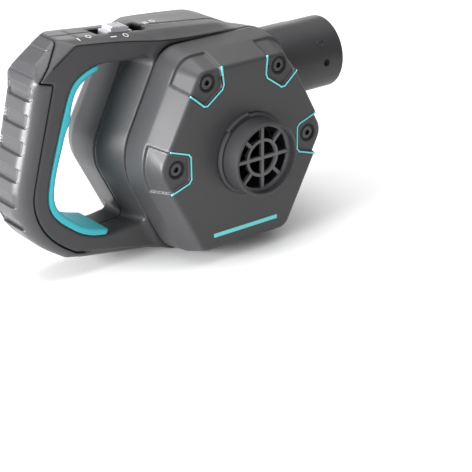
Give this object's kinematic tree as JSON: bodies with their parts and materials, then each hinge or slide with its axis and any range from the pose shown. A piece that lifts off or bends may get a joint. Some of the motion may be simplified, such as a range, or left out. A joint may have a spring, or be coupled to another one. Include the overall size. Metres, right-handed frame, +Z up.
{
  "type": "electric air mattress pump",
  "caption": "Hand-held electric inflator: hexagonal drum with a side handle, a slide switch on the deck, a grilled round inlet on the front plate and a round outlet tube on the right.",
  "frame": {"origin": "the resting surface, straight below the centre of the hexagonal drum, in the parting plane of the two housing halves", "axes": "+X toward the outlet tube, +Y from the front plate to the rear face, +Z up from the resting surface"},
  "size_m": [0.2645, 0.1321, 0.1607],
  "materials": {
    "shell": "fine textured",
    "cover": "fine textured",
    "grip": "satin",
    "liner": "soft touch",
    "trim": "satin",
    "port": "satin",
    "grille": "satin",
    "screw_steel": "zinc plated",
    "switch_black": "satin",
    "switch_grey": "satin",
    "contact_brass": "plain",
    "blower_plastic": "moulded",
    "impeller_plastic": "moulded",
    "steel": "turned",
    "lamination": "stacked laminations",
    "copper": "enamelled wire",
    "alloy": "die cast",
    "carbon": "pressed carbon",
    "black_rubber": "plain",
    "board": "laminate",
    "yellow_case": "moulded",
    "white_case": "moulded",
    "wire_jacket": "extruded",
    "label": "brushed, blank"
  },
  "bodies": {
    "body": {"front_cover": "cover", "front_housing": "shell", "rear_housing": "shell", "grip_cover": "grip", "handle_liner": "liner", "plate_trim": "trim", "inlet_collar": "port", "inlet_grille": "grille", "outlet_tube": "port", "cover_screws": "screw_steel", "housing_screws": "screw_steel", "switch_plate": "switch_black", "switch_body": "switch_black", "volute": "blower_plastic", "volute_back": "blower_plastic", "front_bearing": "steel", "rear_bearing": "steel", "stator_core": "lamination", "field_coils": "copper", "front_bracket": "alloy", "rear_bracket": "alloy", "motor_screws": "screw_steel", "brush_holders": "contact_brass", "brushes": "carbon", "brush_springs": "steel", "motor_mount": "black_rubber", "circuit_board": "board", "capacitor": "yellow_case", "thermal_cutout": "white_case", "leads": "wire_jacket", "cord_gland": "black_rubber", "cord_clamp": "switch_black", "clamp_screws": "screw_steel", "rating_plate": "label"},
    "rotor": {"impeller": "impeller_plastic", "impeller_nut": "steel", "shaft": "steel", "armature_core": "lamination", "armature_windings": "copper", "commutator": "copper"},
    "switch": {"switch_knob": "switch_grey", "switch_wiper": "contact_brass"}
  },
  "joints": [
    {"name": "rotor_spin", "type": "hinge", "parent": "body", "child": "rotor", "pos_m": [0.005, 0, 0.072], "axis": [0, 1, 0], "continuous": true},
    {"name": "switch_slide", "type": "slide", "parent": "body", "child": "switch", "axis": [0.9945, 0, -0.1044], "range_m": [-0.008, 0.008]}
  ]
}
